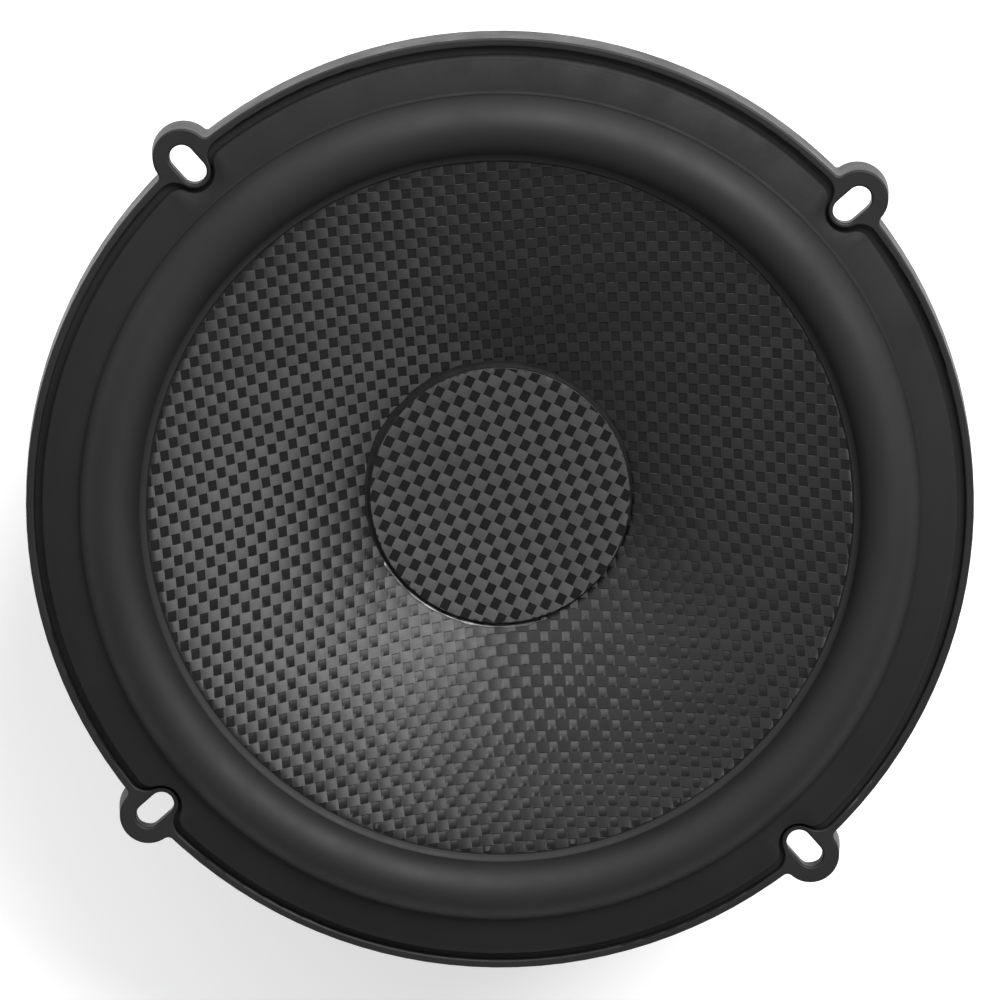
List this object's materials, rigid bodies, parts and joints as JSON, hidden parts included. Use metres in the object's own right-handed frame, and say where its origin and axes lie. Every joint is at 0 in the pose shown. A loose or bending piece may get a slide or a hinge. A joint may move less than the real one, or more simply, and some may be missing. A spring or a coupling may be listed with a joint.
{
  "type": "car mid-bass speaker driver",
  "caption": "Round car mid-bass driver with slotted mounting ears, rubber half-roll surround, woven-fibre cone and dished dust cap, cast basket, ferrite motor.",
  "frame": {"origin": "centre of the flange's rear mounting face, on the speaker's axis", "axes": "+Z forwards along the axis, out of the cone; +X and +Y through two neighbouring mounting ears"},
  "size_m": [0.1696, 0.1696, 0.0752],
  "materials": {
    "cast_frame": "satin black powder coat on cast metal",
    "trim_rubber": "matte black moulded rubber",
    "surround_rubber": "satin black rubber",
    "foam": "black closed-cell foam",
    "woven_fibre": "resin-sealed plain weave, dark grey on black",
    "spider_cloth": "resin-stiffened woven cloth, ochre",
    "glue": "cured black adhesive",
    "former": "black anodised aluminium",
    "copper": "enamelled copper",
    "ferrite": "ground ceramic ferrite",
    "plated_steel": "black zinc-plated steel",
    "boot_rubber": "soft black rubber",
    "screen": "black perforated steel",
    "screw_steel": "black oxide steel",
    "board": "black phenolic board",
    "tinned_brass": "tinned brass",
    "rivet": "nickel-plated brass",
    "solder": "bright tin solder",
    "lead_braid": "braided tinsel, copper coloured"
  },
  "bodies": {
    "chassis": {"basket": "cast_frame", "front_gasket": "trim_rubber", "rear_gasket": "foam", "surround": "surround_rubber", "spider": "spider_cloth", "front_plate": "plated_steel", "magnet": "ferrite", "yoke": "plated_steel", "copper_sleeve": "copper", "vent_screen": "screen", "magnet_boot": "boot_rubber", "plate_screws": "screw_steel", "terminal_board": "board", "terminal_positive": "tinned_brass", "terminal_negative": "tinned_brass", "terminal_rivets": "rivet", "solder_joints": "solder", "lead_positive": "lead_braid", "lead_negative": "lead_braid"},
    "cone_assembly": {"cone": "woven_fibre", "dust_cap": "woven_fibre", "cap_bead": "glue", "neck_bead": "glue", "coil_former": "former", "coil_winding": "copper", "lead_anchors": "glue"}
  },
  "joints": [
    {"name": "cone_travel", "type": "slide", "parent": "chassis", "child": "cone_assembly", "axis": [0, 0, 1], "range_m": [-0.005, 0.005], "stiffness_N_per_m": 900, "deforming": ["surround", "spider", "lead_positive", "lead_negative"]}
  ]
}
